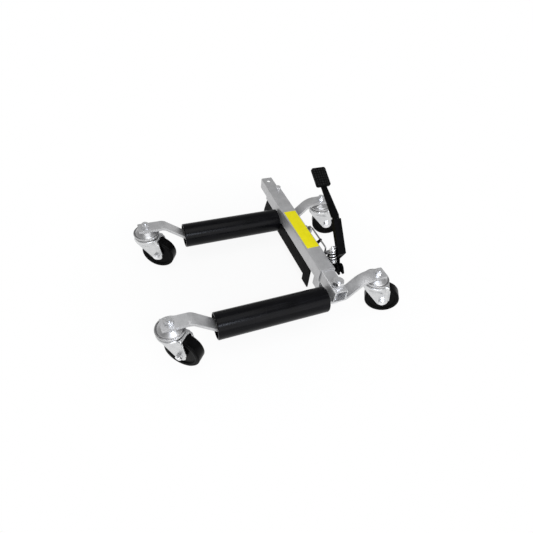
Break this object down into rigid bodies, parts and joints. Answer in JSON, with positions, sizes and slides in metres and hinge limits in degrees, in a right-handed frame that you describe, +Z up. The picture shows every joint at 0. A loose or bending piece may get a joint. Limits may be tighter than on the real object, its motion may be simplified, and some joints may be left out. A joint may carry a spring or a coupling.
{
  "type": "vehicle positioning jack",
  "caption": "Wheel dolly that grips a car tyre between free rollers on a telescopic ratchet rail closed by a foot pedal, carried on swivel castors at its corners.",
  "frame": {"origin": "middle of the bounding box on the floor, with the rail drawn nearly closed", "axes": "+X along the rollers to the pedal side, +Y along the rail to its far end, +Z up"},
  "size_m": [0.708, 0.6228, 0.3062],
  "materials": {
    "zinc": "dull zinc plate",
    "bright_steel": "bright zinc plate",
    "black_paint": "satin black",
    "dark_steel": "blackened",
    "roller_black": "satin black",
    "nylon": "moulded",
    "black_tyre": "moulded",
    "black_rubber": "ribbed",
    "yellow_film": "plain film"
  },
  "bodies": {
    "main_frame": {"outer_rail": "zinc", "label_patch": "yellow_film", "tyre_guard": "black_paint", "guard_screws": "bright_steel", "gib_bracket": "zinc", "rail_screws": "bright_steel", "far_left_bar": "zinc", "far_right_bar": "zinc", "far_roller_shaft": "zinc", "far_shaft_collars": "bright_steel", "pedal_bracket": "black_paint", "pedal_pivot_pin": "bright_steel", "spring_lower_seat": "black_paint", "return_spring": "bright_steel", "holding_pawl_stud": "bright_steel", "rod_guide": "black_paint", "far_left_kingpin": "bright_steel", "far_left_swivel_cap": "zinc", "far_left_swivel_balls": "bright_steel", "far_right_kingpin": "bright_steel", "far_right_swivel_cap": "zinc", "far_right_swivel_balls": "bright_steel"},
    "sliding_frame": {"inner_tube": "zinc", "ratchet_rack": "dark_steel", "packing_plate": "zinc", "clamp_bolt": "bright_steel", "near_left_bar": "zinc", "near_right_bar": "zinc", "near_roller_shaft": "zinc", "near_shaft_collars": "bright_steel", "near_left_kingpin": "bright_steel", "near_left_swivel_cap": "zinc", "near_left_swivel_balls": "bright_steel", "near_right_kingpin": "bright_steel", "near_right_swivel_cap": "zinc", "near_right_swivel_balls": "bright_steel"},
    "far_roller_body": {"far_roller": "roller_black", "far_roller_bushes": "nylon"},
    "near_roller_body": {"near_roller": "roller_black", "near_roller_bushes": "nylon"},
    "pedal": {"pedal_channel": "black_paint", "pedal_upper_arm": "black_paint", "pedal_pad": "black_paint", "pedal_tread": "black_rubber", "spring_upper_pin": "bright_steel"},
    "drive_pawl_body": {"drive_pawl": "dark_steel"},
    "holding_pawl_body": {"holding_pawl": "dark_steel"},
    "release_rod_body": {"release_rod": "dark_steel"},
    "far_left_castor": {"far_left_castor_fork": "zinc", "far_left_castor_axle": "bright_steel"},
    "far_left_wheel": {"far_left_castor_wheel": "black_tyre"},
    "near_left_castor": {"near_left_castor_fork": "zinc", "near_left_castor_axle": "bright_steel"},
    "near_left_wheel": {"near_left_castor_wheel": "black_tyre"},
    "near_right_castor": {"near_right_castor_fork": "zinc", "near_right_castor_axle": "bright_steel"},
    "near_right_wheel": {"near_right_castor_wheel": "black_tyre"},
    "far_right_castor": {"far_right_castor_fork": "zinc", "far_right_castor_axle": "bright_steel"},
    "far_right_wheel": {"far_right_castor_wheel": "black_tyre"}
  },
  "joints": [
    {"name": "rail_slide", "type": "slide", "parent": "main_frame", "child": "sliding_frame", "axis": [0, -1, 0], "range_m": [-0.02, 0.16]},
    {"name": "far_roller_spin", "type": "hinge", "parent": "main_frame", "child": "far_roller_body", "pos_m": [-0.02147, 0.12537, 0.08], "axis": [1, 0, 0], "continuous": true},
    {"name": "near_roller_spin", "type": "hinge", "parent": "sliding_frame", "child": "near_roller_body", "pos_m": [-0.02147, -0.24663, 0.08], "axis": [1, 0, 0], "continuous": true},
    {"name": "pedal_press", "type": "hinge", "parent": "main_frame", "child": "pedal", "pos_m": [0.20053, -0.12143, 0.1049], "axis": [-1, 0, 0], "range_deg": [0, 32], "stiffness_Nm_per_rad": 6, "springref_deg": -28.65, "deforming": ["return_spring"]},
    {"name": "drive_pawl_swing", "type": "hinge", "parent": "pedal", "child": "drive_pawl_body", "pos_m": [0.17203, -0.12743, 0.1389], "axis": [1, 0, 0], "range_deg": [-1, 38]},
    {"name": "holding_pawl_swing", "type": "hinge", "parent": "main_frame", "child": "holding_pawl_body", "pos_m": [0.17203, -0.00273, 0.122], "axis": [1, 0, 0], "range_deg": [-8.5, 16]},
    {"name": "release_rod_pull", "type": "slide", "parent": "main_frame", "child": "release_rod_body", "axis": [0, -1, 0], "range_m": [-0.00144, 0.00288]},
    {"name": "far_left_swivel", "type": "hinge", "parent": "main_frame", "child": "far_left_castor", "pos_m": [-0.31597, 0.12537, 0.1085], "axis": [0, 0, 1], "continuous": true},
    {"name": "far_left_wheel_spin", "type": "hinge", "parent": "far_left_castor", "child": "far_left_wheel", "pos_m": [-0.28746, 0.10777, 0.05], "axis": [0.5255, 0.8508, 0], "continuous": true},
    {"name": "near_left_swivel", "type": "hinge", "parent": "sliding_frame", "child": "near_left_castor", "pos_m": [-0.31597, -0.24663, 0.1085], "axis": [0, 0, 1], "continuous": true},
    {"name": "near_left_wheel_spin", "type": "hinge", "parent": "near_left_castor", "child": "near_left_wheel", "pos_m": [-0.29103, -0.269, 0.05], "axis": [0.6678, 0.7443, 0], "continuous": true},
    {"name": "near_right_swivel", "type": "hinge", "parent": "sliding_frame", "child": "near_right_castor", "pos_m": [0.27303, -0.24663, 0.1085], "axis": [0, 0, 1], "continuous": true},
    {"name": "near_right_wheel_spin", "type": "hinge", "parent": "near_right_castor", "child": "near_right_wheel", "pos_m": [0.30187, -0.26368, 0.05], "axis": [0.509, 0.8607, 0], "continuous": true},
    {"name": "far_right_swivel", "type": "hinge", "parent": "main_frame", "child": "far_right_castor", "pos_m": [0.27303, 0.12537, 0.1085], "axis": [0, 0, 1], "continuous": true},
    {"name": "far_right_wheel_spin", "type": "hinge", "parent": "far_right_castor", "child": "far_right_wheel", "pos_m": [0.30394, 0.11245, 0.05], "axis": [0.3859, 0.9225, 0], "continuous": true}
  ],
  "couplings": [
    {"joint": "drive_pawl_swing", "follows": "pedal_press", "ratio": 1.154},
    {"joint": "holding_pawl_swing", "follows": "release_rod_pull", "rad_per_m": 90.909}
  ]
}
